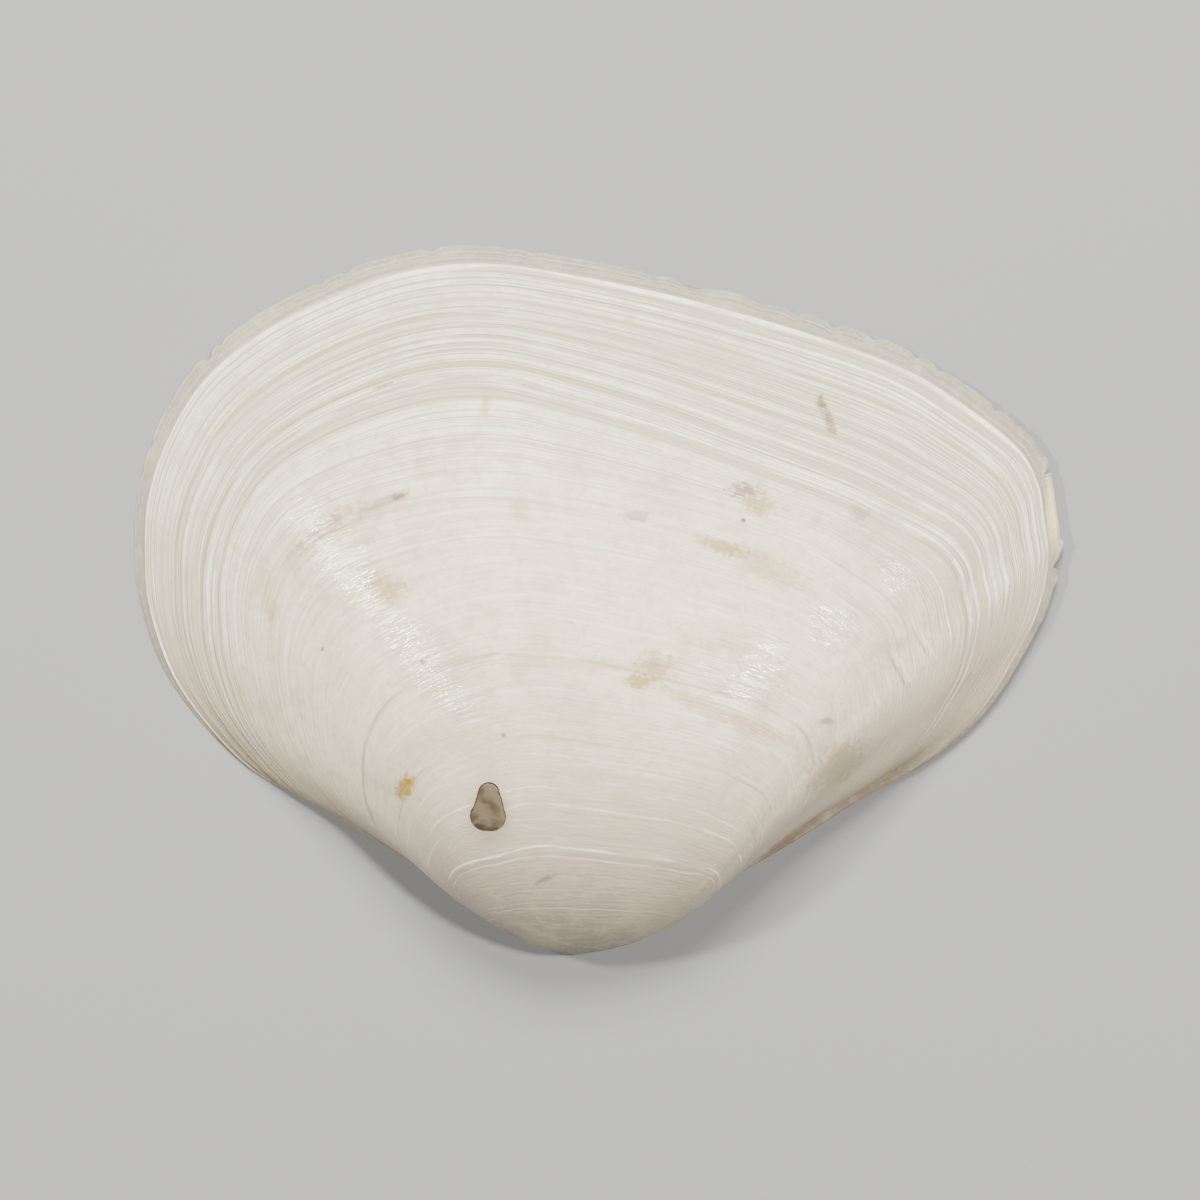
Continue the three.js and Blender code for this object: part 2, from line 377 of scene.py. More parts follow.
    def relief(self, growth: Growth, stage: np.ndarray, place: np.ndarray) -> np.ndarray:
        """Height of the outer face over its smooth form.

        Args:
            growth: The valve's growth.
            stage: Growth stages.
            place: Places round the rings.

        Returns:
            The height in millimetres, square to the face.
        """
        drift = self.stray_reach * self.stray.sheet(place, stage)
        strayed = stage + drift * smoothstep(*self.stray_stages, stage)
        lined = 1.0 - (1.0 - self.rear_share) * smoothstep(*self.smooth_rear, place)
        lined = lined * (self.front_share + (1.0 - self.front_share) * smoothstep(*self.smooth_front, place))
        height = np.zeros(np.broadcast(stage, place).shape)
        for number, mark in enumerate(self.marks):
            swing = SmoothNoise(self.mark_seed + number, self.mark_waves).sheet(place, stage)
            strength = (self.mark_strength + self.mark_swing * swing) * lined
            height = height + mark.height * strength * bump(strayed, mark.stage, mark.half)
        late = smoothstep(*self.thread_stages, stage)
        share = self.young_thread + (1.0 - self.young_thread) * late
        for number, (spacing, strength) in enumerate(self.threads):
            waves = (self.thread_waves, 2.0 * growth.half_height / spacing)
            threads = SmoothNoise(self.thread_seed + number, waves).sheet(place, strayed)
            height = height + self.thread_height * strength * threads * lined * share
        height = height + self.unevenness * self.uneven.sheet(place, stage)
        grown = smoothstep(*self.fold_stages, stage)
        height = height + self.fold_height * grown * bump(place, self.fold_place, self.fold_spread)
        height = height - self.dip_depth * grown * bump(place, self.dip_place, self.dip_spread)
        groove = bump(place, self.groove_place, self.groove_spread)
        groove = groove * bump(stage, self.groove_stage, self.groove_stage_spread)
        height = height - self.groove_depth * groove
        return height * smoothstep(*self.smooth_hinge, growth.edge(place)[1])

    def chipped(self, stage: np.ndarray, place: np.ndarray) -> np.ndarray:
        """Growth stages after the chips have cut the last ones short."""
        cut = np.zeros_like(place)
        for chip in self.chips:
            cut = cut + chip.depth * bump(place, chip.place, chip.half / MARGIN_LENGTH)
        ragged = self.nicks_middle
        for share, noise in self.nicks:
            ragged = ragged + share * noise.sheet(place, stage)
        lower = smoothstep(*self.ragged_from, place) * smoothstep(*self.ragged_to, place)
        cut = (cut + self.ragged_depth * ragged * lower) / self.chip_run
        return stage - cut * smoothstep(self.chip_from, 1.0, stage)


class Face(Enum):
    """The two faces of the wall, and the value of the "inside" attribute on each."""

    OUTER = 0.0
    INNER = 1.0


def rgb(code: str) -> tuple[float, float, float, float]:
    """Linear colour of an sRGB hex code such as E6E2D8."""
    parts = [int(code[i:i + 2], 16) / 255.0 for i in (0, 2, 4)]
    linear = [part / 12.92 if part <= 0.04045 else ((part + 0.055) / 1.055) ** 2.4 for part in parts]
    return linear[0], linear[1], linear[2], 1.0


def add_node(tree: bpy.types.NodeTree, kind: str, settings: dict[str, Any] | None = None,
             inputs: dict[int | str, Any] | None = None) -> bpy.types.Node:
    """Adds a shader node.

    Args:
        tree: The material's nodes.
        kind: The node's type.
        settings: Its own properties.
        inputs: Its sockets: a value, or the output that is linked to it.

    Returns:
        The node.
    """
    node = tree.nodes.new(kind)
    for name, value in (settings or {}).items():
        setattr(node, name, value)
    for socket, value in (inputs or {}).items():
        if isinstance(value, bpy.types.NodeSocket):
            tree.links.new(value, node.inputs[socket])
        else:
            node.inputs[socket].default_value = value
    return node


class Chart(Enum):
    """What a grain is laid out on: the growth rings, or space."""

    RINGS = "rings"
    SPACE = "space"


@dataclass(frozen=True)
class Grain:
    """A noise pattern, from 0 to 1, that coats and reliefs go by.

    Args:
        name: The measure that it makes.
        chart: What it is laid out on.
        size: Its blotches' length and width in millimetres: along and across the last ring on RINGS,
            and the same both ways in SPACE.
        detail: How many finer patterns are added to it.
    """

    name: str
    chart: Chart
    size: tuple[float, float]
    detail: float


@dataclass(frozen=True)
class Mask:
    """How strong something is for each value of one measure of the surface.

    Args:
        measure: The measure's name.
        span: Two values of the measure, between which the strength changes; none for the measure itself.
        strength: Strength at the first of them and before, and at the second and beyond.
    """

    measure: str
    span: tuple[float, float] | None = None
    strength: tuple[float, float] = (0.0, 1.0)


@dataclass(frozen=True)
class Coat:
    """A colour laid over what is under it, as strongly as all its masks together let it.

    Args:
        colour: Its sRGB code.
        masks: Its masks.
    """

    colour: str
    masks: tuple[Mask, ...]


@dataclass(frozen=True)
class Oval:
    """An oval patch of the surface, seen from above.

    Args:
        pixel: Its middle, in the picture.
        reach: Half its length and half its width, in millimetres.
        turn: How far its length is turned from +X, in degrees.
    """

    pixel: tuple[float, float]
    reach: tuple[float, float]
    turn: float


@dataclass(frozen=True)
class StainAndShade:
    """A patch of colour on the outer face: mostly a stain, in a few places painted shade.

    Args:
        patch: Where it is.
        colour: Its sRGB code.
        strength: How much of the shell's colour it hides.
        breakup: How ragged it is, from 0 to 1.
    """

    patch: Oval
    colour: str
    strength: float
    breakup: float = 0.6


@dataclass(frozen=True)
class DrawnLine:
    """A fine growth line that is only colour.

    Args:
        stage: Where it lies.
        half: Half its width, in stages.
        strength: How much of the shell's colour it hides where it shows best.
        colour: Its sRGB code.
        least: The share of that strength which is left where it is worn.
    """

    stage: float
    half: float
    strength: float
    colour: str
    least: float = 0.05


class Dressing:
    """A material as it is built up: its nodes, and the measures of the surface that it goes by."""

    def __init__(self, name: str) -> None:
        """Starts a material.

        Args:
            name: The material's name.
        """
        self.material = bpy.data.materials.new(name)
        self.material.use_nodes = True
        self.tree = self.material.node_tree
        self.shader = self.tree.nodes["Principled BSDF"]
        self.spot = add_node(self.tree, "ShaderNodeTexCoord").outputs["Object"]
        self.measures: dict[str, bpy.types.NodeSocket] = {}

    def measure_skin(self) -> None:
        """Reads what the valve's skin carries: place, stage, relief and inside."""
        rings = add_node(self.tree, "ShaderNodeUVMap", {"uv_map": "rings"}).outputs["UV"]
        self.measures["rings"] = rings
        parts = add_node(self.tree, "ShaderNodeSeparateXYZ", None, {0: rings})
        self.measures["place"], self.measures["stage"] = parts.outputs[0], parts.outputs[1]
        for name in ("relief", "inside"):
            read = add_node(self.tree, "ShaderNodeAttribute", {"attribute_name": name})
            self.measures[name] = read.outputs["Fac"]

    def grow(self, grains: tuple[Grain, ...]) -> None:
        """Adds the measures that grains make, each a noise laid out over its chart."""
        for grain in grains:
            if grain.chart is Chart.RINGS:
                start = self.measures["rings"]
                scale = (MARGIN_LENGTH / grain.size[0], RING_RUN / grain.size[1], 1.0)
            else:
                start = self.spot
                scale = (1.0 / (grain.size[0] * MM),) * 3
            laid = add_node(self.tree, "ShaderNodeMapping", None, {"Vector": start, "Scale": scale})
            noise = add_node(self.tree, "ShaderNodeTexNoise", None,
                             {"Vector": laid.outputs[0], "Scale": 1.0, "Detail": grain.detail})
            self.measures[grain.name] = noise.outputs["Fac"]

    def strength(self, masks: tuple[Mask, ...]) -> bpy.types.NodeSocket:
        """Strength that masks give together: each one's, multiplied.

        Args:
            masks: The masks, one or more.

        Returns:
            Their joint strength.
        """
        joint = None
        for mask in masks:
            value = self.measures[mask.measure]
            if mask.span is not None:
                value = add_node(self.tree, "ShaderNodeMapRange", {"interpolation_type": "SMOOTHSTEP"},
                                 {0: value, 1: mask.span[0], 2: mask.span[1],
                                  3: mask.strength[0], 4: mask.strength[1]}).outputs[0]
            if joint is not None:
                value = add_node(self.tree, "ShaderNodeMath", {"operation": "MULTIPLY"},
                                 {0: joint, 1: value}).outputs[0]
            joint = value
        return joint

    def total(self, terms: tuple[tuple[Mask, ...], ...]) -> bpy.types.NodeSocket:
        """Sum of what several sets of masks give.

        Args:
            terms: The sets of masks, one or more.

        Returns:
            Their sum.
        """
        whole = self.strength(terms[0])
        for masks in terms[1:]:
            whole = add_node(self.tree, "ShaderNodeMath", {"operation": "ADD"},
                             {0: whole, 1: self.strength(masks)}).outputs[0]
        return whole

    def lay(self, ground: Any, coats: tuple[Coat, ...]) -> bpy.types.NodeSocket:
        """Lays coats of colour, one over the other.

        Args:
            ground: The colour under them.
            coats: The coats, from the lowest.

        Returns:
            The colour that shows.
        """
        for coat in coats:
            ground = add_node(self.tree, "ShaderNodeMix", {"data_type": "RGBA"},
                              {0: self.strength(coat.masks), 6: ground, 7: rgb(coat.colour)}).outputs[2]
        return ground

    def reach_of(self, patch: Oval) -> bpy.types.NodeSocket:
        """Distance from the middle of a patch, seen from above: 1 on its edge."""
        x, y = from_pixel(*patch.pixel)
        laid = add_node(self.tree, "ShaderNodeMapping", {"vector_type": "TEXTURE"}, {
            "Vector": self.spot, "Location": (x * MM, y * MM, 0.0),
            "Rotation": (0.0, 0.0, math.radians(patch.turn)),
            "Scale": (patch.reach[0] * MM, patch.reach[1] * MM, 1.0)}).outputs[0]
        flat = add_node(self.tree, "ShaderNodeVectorMath", {"operation": "MULTIPLY"},
                        {0: laid, 1: (1.0, 1.0, 0.0)}).outputs[0]
        return add_node(self.tree, "ShaderNodeVectorMath", {"operation": "LENGTH"}, {0: flat}).outputs[1]


YELLOW = "A28422"
BROWN = "56472E"
TAN = "A18D4E"
GREY = "77726A"
OUTSIDE = Mask("inside", (0.0, 1.0), (1.0, 0.0))
MOSTLY_OUTSIDE = Mask("inside", (0.0, 1.0), (1.0, 0.12))


@dataclass(frozen=True)
class ShellFinish:
    """Aragonite shell, worn on a beach: chalky to satin outside, porcelain gloss inside.

    Its layers scatter light a little way in, so its edges and thin places look warm and soft, and old
    growth ridges, rubbed bare, are whiter than the threads between them; on the raised and sunk relief
    that colour is partly painted highlight and painted shade.
    """

    body: str = "E9E0C7"
    band: str = "C0B8A0"
    edge_band: str = "918E82"
    crest: str = "FFFCF0"
    groove: str = "8E8064"
    beak: str = "9E9186"
    rear: str = "B2A596"
    # painted shade, a little warm, for the hinge edges and the beak
    hinge_edge_shade: str = "877964"
    inner: str = "F3F0EA"
    inner_scar: str = "E2DCD2"
    ior: float = 1.56
    scatter: float = 0.08                  # share of the light that goes in and comes out beside
    scatter_reach: float = 0.9             # how far, in millimetres
    scatter_colour: tuple[float, float, float] = (1.0, 0.9, 0.78)
    grains: tuple[Grain, ...] = (
        Grain("bands", Chart.RINGS, (130.0, 1.2), 3.0),
        Grain("wide lines", Chart.RINGS, (100.0, 0.33), 1.5),
        Grain("lines", Chart.RINGS, (100.0, 0.165), 1.5),
        Grain("fine lines", Chart.RINGS, (100.0, 0.095), 1.5),
        Grain("drift", Chart.RINGS, (26.0, 8.0), 2.0),
        Grain("wear", Chart.RINGS, (11.0, 0.7), 2.0),
        Grain("clouds", Chart.SPACE, (5.0, 5.0), 4.0),
        Grain("mottles", Chart.SPACE, (1.1, 1.1), 4.0),
        Grain("specks", Chart.SPACE, (0.35, 0.35), 4.0),
        Grain("streaks", Chart.RINGS, (6.0, 0.34), 4.0),
        Grain("ragged", Chart.SPACE, (0.33, 0.33), 7.0),
        Grain("inner clouds", Chart.RINGS, (17.0, 3.0), 3.0),
        Grain("rough", Chart.RINGS, (5.0, 0.7), 3.0),
        Grain("threads", Chart.RINGS, (100.0, 0.18), 2.0),
        Grain("wrinkles", Chart.RINGS, (3.4, 0.19), 2.5),
        Grain("chalk", Chart.SPACE, (0.11, 0.11), 2.0),
    )
    blends: tuple[tuple[str, tuple[Mask, ...]], ...] = (      # measures made of others, in this order
        ("lined", (Mask("place", (0.735, 0.772), (1.0, 0.12)), Mask("place", (0.16, 0.36), (0.25, 1.0)))),
        ("late", (Mask("stage", (0.5, 0.82), (0.08, 1.0)), Mask("lined"))),
        ("late lines", (Mask("late"), Mask("stage", (0.966, 0.976), (1.0, 0.15)))),
        ("streaked", (Mask("lined"), Mask("stage", (0.96, 0.97), (1.0, 0.15)),
                      Mask("stage", (0.2, 0.5), (0.12, 1.0)))),
    )
    drawn_lines: tuple[DrawnLine, ...] = (
        DrawnLine(0.247, 0.0015, 0.9, "FFF8E4"), DrawnLine(0.236, 0.0012, 0.45, "FFF8E4"),
        DrawnLine(0.166, 0.0009, 0.4, "FFF8E4"), DrawnLine(0.19, 0.001, 0.25, "8E8064"),
        DrawnLine(0.216, 0.001, 0.2, "8E8064"), DrawnLine(0.299, 0.0014, 0.6, "FFF8E4"),
        DrawnLine(0.318, 0.001, 0.65, "FFF8E4"), DrawnLine(0.337, 0.0012, 0.3, "8E8064"),
        DrawnLine(0.352, 0.001, 0.45, "FFF8E4"), DrawnLine(0.38, 0.0012, 0.35, "8E8064", 0.3),
        DrawnLine(0.43, 0.001, 0.4, "FFF8E4"), DrawnLine(0.474, 0.0018, 0.5, "8E8064", 0.3),
        DrawnLine(0.465, 0.0012, 0.5, "FFF8E4"), DrawnLine(0.656, 0.001, 0.35, "8E8064", 0.3),
        DrawnLine(0.97, 0.0018, 1.0, "FFFCF2", 0.5), DrawnLine(0.953, 0.0012, 0.8, "FFFCF2", 0.3),
        DrawnLine(0.941, 0.001, 0.8, "FFFCF2", 0.3), DrawnLine(0.823, 0.0014, 0.9, "FFFCF2", 0.3),
        DrawnLine(0.8165, 0.0011, 0.6, "8E8064", 0.3), DrawnLine(0.807, 0.0012, 0.7, "FFFCF2", 0.3),
        DrawnLine(0.8005, 0.0011, 0.6, "8E8064", 0.3),
    )
    polished: tuple[Oval, ...] = (           # where the beach left the gloss on
        Oval((335.0, 550.0), (2.8, 4.6), 35.0), Oval((440.0, 665.0), (2.2, 5.0), 50.0),
        Oval((735.0, 662.0), (4.6, 2.6), -22.0), Oval((830.0, 628.0), (1.9, 1.5), -30.0),
        Oval((905.0, 590.0), (1.0, 3.0), 40.0),
    )
    # stains, and patches of painted shade: round the hole's rim, on the rear slope beside the fold, in the
    # ligament's groove and under two chips
    stains_and_shade: tuple[StainAndShade, ...] = (
        # painted shade round the rim of the snail's hole
        StainAndShade(Oval((491, 812), (1.35, 1.75), 0.0), "8F7964", 0.45, 0.1),
        StainAndShade(Oval((407, 785), (0.75, 0.55), 60.0), YELLOW, 0.8, 1.0),
        StainAndShade(Oval((412, 779), (0.25, 0.2), 0.0), YELLOW, 0.8, 0.3),
        StainAndShade(Oval((402, 497), (0.6, 0.26), 20.0), "6B4A38", 0.75, 0.7),
        StainAndShade(Oval((378, 507), (1.9, 0.35), 28.0), "7A5E48", 0.4, 0.9),
        StainAndShade(Oval((327, 530), (2.2, 0.55), 38.0), "8E7650", 0.5, 1.0),
        StainAndShade(Oval((388, 588), (0.9, 1.2), 70.0), TAN, 0.62, 1.0),
        StainAndShade(Oval((458, 447), (0.7, 0.6), 0.0), TAN, 0.22, 0.5),
        StainAndShade(Oval((423, 468), (0.5, 1.3), 15.0), TAN, 0.22, 0.7),
        StainAndShade(Oval((520, 510), (0.7, 0.9), 0.0), TAN, 0.35, 0.8),
        StainAndShade(Oval((487, 405), (0.25, 0.7), 0.0), TAN, 0.4, 0.5),
        StainAndShade(Oval((663, 358), (0.7, 0.6), 0.0), TAN, 0.18, 0.6),
        StainAndShade(Oval((635, 517), (0.9, 0.35), 0.0), GREY, 0.5, 0.8),
        StainAndShade(Oval((745, 492), (1.0, 0.45), -5.0), BROWN, 0.6, 1.0),
        StainAndShade(Oval((757, 506), (1.0, 0.6), -20.0), TAN, 0.62, 1.0),
        StainAndShade(Oval((742, 521), (0.16, 0.14), 0.0), BROWN, 0.8, 0.2),
        StainAndShade(Oval((720, 548), (1.6, 0.45), -15.0), TAN, 0.7, 0.9),
        StainAndShade(Oval((765, 568), (2.6, 0.8), -28.0), TAN, 0.38, 0.9),
        StainAndShade(Oval((640, 681), (0.9, 0.5), 0.0), YELLOW, 0.7, 1.0),
        StainAndShade(Oval((655, 665), (1.3, 0.9), -10.0), TAN, 0.55, 1.0),
        StainAndShade(Oval((560, 663), (6.0, 0.4), -2.0), TAN, 0.22, 0.9),
        StainAndShade(Oval((722, 713), (4.6, 0.55), -23.0), TAN, 0.36, 0.9),
        StainAndShade(Oval((384, 387), (0.6, 0.1), 20.0), BROWN, 0.6, 0.9),
        StainAndShade(Oval((820, 403), (0.3, 0.5), 0.0), "6B5636", 0.6, 0.7),
        StainAndShade(Oval((828, 420), (0.35, 1.1), 20.0), "6B5636", 0.55, 0.9),
        StainAndShade(Oval((858, 515), (0.5, 0.8), 0.0), GREY, 0.32, 0.9),
        StainAndShade(Oval((546, 876), (0.7, 0.2), 25.0), BROWN, 0.4, 0.7),
        StainAndShade(Oval((425, 661), (0.17, 0.15), 0.0), BROWN, 0.95, 0.2),
        StainAndShade(Oval((325, 649), (0.14, 0.14), 0.0), BROWN, 0.6, 0.2),
        StainAndShade(Oval((505, 733), (0.2, 0.14), 0.0), BROWN, 0.55, 0.2),
        StainAndShade(Oval((825, 720), (0.5, 0.22), 0.0), GREY, 0.45, 0.5),
        StainAndShade(Oval((270, 595), (0.5, 1.6), 10.0), TAN, 0.25, 0.9),
        # painted shade, brownish, on the rear slope beside the fold
        StainAndShade(Oval((835, 765), (2.3, 1.1), 35.0), "8E7A5C", 0.42, 0.7),
        # painted shadow: a dark soft line along the ligament's groove
        StainAndShade(Oval((792, 838), (2.2, 0.24), 36.0), "6E604A", 0.6, 0.3),
        StainAndShade(Oval((896, 671), (1.35, 0.12), -62.0), "8A8172", 0.5, 0.5),
        StainAndShade(Oval((902, 668), (1.2, 0.08), -62.0), "FFFDF4", 0.6, 0.3),
        StainAndShade(Oval((920, 645), (1.3, 0.1), -60.0), "8C8476", 0.38, 0.5),
        StainAndShade(Oval((925, 642), (1.1, 0.08), -60.0), "FFFDF4", 0.5, 0.3),
        # painted shadow under the two chipped places of the upper margin
        StainAndShade(Oval((693, 285), (0.62, 0.16), -12.0), "6A5A4E", 0.8, 0.2),
        StainAndShade(Oval((762, 299), (0.55, 0.12), -17.0), "6A5A4E", 0.65, 0.2),
        StainAndShade(Oval((1053, 510), (0.4, 2.1), 3.0), "EADFA6", 0.75, 0.2),
    )
    muscle_scars: tuple[Oval, ...] = (         # on the inner face, at the pixels over them
        Oval((278.4, 590.6), (2.6, 5.2), 12.0), Oval((944.9, 607.4), (3.6, 4.2), -20.0))
    mantle_line: tuple[float, float] = (0.83, 0.007)
    mantle_ends: tuple[Mask, ...] = (
        Mask("place", (0.24, 0.28), (0.0, 1.0)), Mask("place", (0.72, 0.68), (0.0, 0.8)))
    roughness: tuple[tuple[Mask, ...], ...] = (
        (Mask("rough", (0.3, 0.7), (0.4, 0.52)), OUTSIDE),
        (Mask("stage", (0.72, 0.8), (0.0, 0.06)), OUTSIDE),
        (Mask("polish", (0.0, 1.0), (0.0, -0.34)), OUTSIDE),
        (Mask("inside", (0.0, 1.0), (0.0, 0.24)),),
    )
    reliefs: tuple[tuple[float, tuple[Mask, ...]], ...] = (      # depth in millimetres, and where it shows
        (0.07, (Mask("threads"), Mask("stage", (0.3, 0.8), (0.1, 1.0)),
                Mask("place", (0.735, 0.772), (1.0, 0.1)), MOSTLY_OUTSIDE)),
        (0.12, (Mask("wrinkles"), MOSTLY_OUTSIDE, Mask("shine", (0.0, 1.0), (0.3, 1.0)))),
        (0.006, (Mask("chalk"), MOSTLY_OUTSIDE)),
    )

    def material(self) -> bpy.types.Material:
        """Makes the shell's material.

        Returns:
            The material, which reads the "rings" UV map, object coordinates and the valve's attributes.
        """
        dressing = Dressing("beach_worn_aragonite_shell")
        dressing.measure_skin()
        dressing.grow(self.grains)
        for name, masks in self.blends:
            dressing.measures[name] = dressing.strength(masks)
        self.find_shine(dressing)
        outer = dressing.lay(rgb(self.body), self.base_coats())
        outer = self.draw_lines(dressing, outer)
        outer = dressing.lay(outer, self.shaded_and_worn_coats())
        outer = self.stain_and_shade(dressing, outer)
        colour = add_node(dressing.tree, "ShaderNodeMix", {"data_type": "RGBA"}, {
            0: dressing.measures["inside"], 6: outer, 7: self.inner_colour(dressing)}).outputs[2]
        shader = dressing.shader
        dressing.tree.links.new(colour, shader.inputs["Base Color"])
        dressing.tree.links.new(dressing.total(self.roughness), shader.inputs["Roughness"])
        dressing.tree.links.new(self.normal(dressing), shader.inputs["Normal"])
        shader.inputs["IOR"].default_value = self.ior
        shader.inputs["Subsurface Weight"].default_value = self.scatter
        shader.inputs["Subsurface Radius"].default_value = self.scatter_colour
        shader.inputs["Subsurface Scale"].default_value = self.scatter_reach * MM
        return dressing.material

    def base_coats(self) -> tuple[Coat, ...]:
        """Coats of the clean shell: bands, duller edge, beak and rear partly darkened with painted shade,
        the lines of growth, and painted highlight and shade on the relief.
        """
        return (
            Coat(self.band, (Mask("bands", (0.44, 0.62), (0.0, 0.4)), Mask("late"))),
            Coat(self.band, (Mask("stage", (0.74, 0.81), (0.0, 0.92)),)),
            Coat(self.edge_band, (Mask("stage", (0.972, 0.978), (0.0, 0.9)),)),
            # darker towards the beak: partly the shell's own greyer tone, partly painted shade where the
            # beak turns away from the light
            Coat(self.beak, (Mask("stage", (0.5, 0.12), (0.0, 0.9)),)),
            # darker, pinker rear slope: partly the shell's own tint, partly painted shade where the slope
            # turns away from the light
            Coat(self.rear, (Mask("place", (0.71, 0.8), (0.0, 0.8)),
                             Mask("stage", (0.99, 0.85), (0.3, 1.0)))),
            Coat(self.crest, (Mask("wide lines", (0.56, 0.65), (0.0, 0.5)), Mask("late lines"))),
            Coat(self.groove, (Mask("wide lines", (0.43, 0.33), (0.0, 0.25)), Mask("late lines"))),
            Coat(self.crest, (Mask("lines", (0.56, 0.65), (0.0, 0.85)), Mask("late lines"))),
            Coat(self.groove, (Mask("lines", (0.43, 0.33), (0.0, 0.5)), Mask("late lines"))),
            Coat(self.crest, (Mask("fine lines", (0.56, 0.65), (0.0, 0.85)), Mask("late lines"))),
            Coat(self.groove, (Mask("fine lines", (0.43, 0.33), (0.0, 0.6)), Mask("late lines"))),
            # whiter on raised relief and greyer in sunk relief: partly the rubbed-bare ridges' own colour,
            # partly painted highlight on the ridges and painted shade in the grooves
            Coat(self.crest, (Mask("relief", (0.055, 0.12), (0.0, 0.7)),)),
            Coat(self.groove, (Mask("relief", (-0.02, -0.08), (0.0, 0.7)),
                               Mask("stage", (0.5, 0.66), (0.25, 1.0)))),
        )

    def shaded_and_worn_coats(self) -> tuple[Coat, ...]:
        """Coats over the drawn lines: painted shade, a little warm, along the hinge edges and at the beak,
        then mottles and streaks along the rings.
        """
        return (
            # painted shade: the two hinge edges and the beak's end darker, where they turn away from the
            # light
            Coat(self.hinge_edge_shade, (Mask("place", (0.81, 0.91), (0.0, 0.85)),)),
            Coat(self.hinge_edge_shade, (Mask("place", (0.23, 0.08), (0.0, 0.92)),)),
            Coat(self.hinge_edge_shade, (Mask("stage", (0.2, 0.04), (0.0, 0.8)),)),
            Coat(self.band, (Mask("clouds", (0.48, 0.68), (0.0, 0.45)),)),
            Coat(self.band, (Mask("mottles", (0.5, 0.68), (0.0, 0.45)),)),
            Coat(self.band, (Mask("specks", (0.5, 0.66), (0.0, 0.3)),)),
            Coat(self.crest, (Mask("streaks", (0.54, 0.7), (0.0, 0.45)), Mask("streaked"))),
            Coat(self.band, (Mask("streaks", (0.44, 0.3), (0.0, 0.4)), Mask("streaked"))),
        )

    def find_shine(self, dressing: Dressing) -> None:
        """Adds the measure that is 1 where the shell kept its gloss, and 0 where the beach took it."""
        terms = []
        for number, patch in enumerate(self.polished):
            name = f"polished {number}"
            dressing.measures[name] = dressing.reach_of(patch)
            terms.append((Mask(name, (1.3, 0.5)),))
        dressing.measures["polish"] = dressing.total(tuple(terms))
        dressing.measures["shine"] = dressing.strength((Mask("polish", (0.0, 1.0)),))

    def draw_lines(self, dressing: Dressing, ground: Any) -> bpy.types.NodeSocket:
        """Draws the fine growth lines, each a little off its stage here and there.

        Args:
            dressing: The material.
            ground: The colour under them.

        Returns:
            The colour that shows.
        """
        strayed = dressing.total(((Mask("stage"),), (Mask("drift", (0.2, 0.8), (-0.006, 0.006)),)))
        for line in self.drawn_lines:
            dressing.measures["line"] = add_node(dressing.tree, "ShaderNodeMath", {"operation": "COMPARE"},
                                                 {0: strayed, 1: line.stage, 2: line.half}).outputs[0]
            worn = Mask("wear", (0.4, 0.56), (line.least * line.strength, line.strength))
            ground = dressing.lay(ground, (Coat(line.colour, (Mask("line"), worn)),))
        return ground

    def stain_and_shade(self, dressing: Dressing, ground: Any) -> bpy.types.NodeSocket:
        """Lays the stains and the patches of painted shade, each a faint halo and a ragged core.

        Args:
            dressing: The material.
            ground: The colour under them.

        Returns:
            The colour that shows.
        """
        for stain_and_shade in self.stains_and_shade:
            reach = dressing.reach_of(stain_and_shade.patch)
            torn = add_node(dressing.tree, "ShaderNodeMath", {"operation": "MULTIPLY_ADD"},
                            {0: dressing.measures["ragged"], 1: 3.0 * stain_and_shade.breakup, 2: reach}).outputs[0]
            dressing.measures["reach"], dressing.measures["torn reach"] = reach, torn
            middle = 1.5 * stain_and_shade.breakup
            halo = Mask("reach", (1.7, 0.1), (0.0, 0.4 * stain_and_shade.strength))
            core = Mask("torn reach", (middle + 1.2, middle + 0.4), (0.0, stain_and_shade.strength))
            ground = dressing.lay(ground, (Coat(stain_and_shade.colour, (halo,)), Coat(stain_and_shade.colour, (core,))))
        return ground

    def inner_colour(self, dressing: Dressing) -> bpy.types.NodeSocket:
        """Colour of the inner face: porcelain white, with the duller scars of the muscles and the mantle."""
        coats = [Coat(self.body, (Mask("inner clouds", (0.35, 0.7), (0.0, 0.5)),))]
        for number, patch in enumerate(self.muscle_scars):
            name = f"scar {number}"
            dressing.measures[name] = dressing.reach_of(patch)
            coats.append(Coat(self.inner_scar, (Mask(name, (1.05, 0.95), (0.0, 0.75)),)))
        at, half = self.mantle_line
        dressing.measures["mantle"] = add_node(dressing.tree, "ShaderNodeMath", {"operation": "COMPARE"},
                                               {0: dressing.measures["stage"], 1: at, 2: half}).outputs[0]
        coats.append(Coat(self.inner_scar, (Mask("mantle"), *self.mantle_ends)))
        return dressing.lay(rgb(self.inner), tuple(coats))

    def normal(self, dressing: Dressing) -> bpy.types.NodeSocket:
        """Normal of the surface with its finest reliefs, one on the other."""
        inputs: dict[int | str, Any] = {"Strength": 1.0}
        for depth, masks in self.reliefs:
            inputs.update({"Distance": depth * MM, "Height": dressing.strength(masks)})
            inputs["Normal"] = add_node(dressing.tree, "ShaderNodeBump", None, inputs).outputs[0]
        return inputs["Normal"]


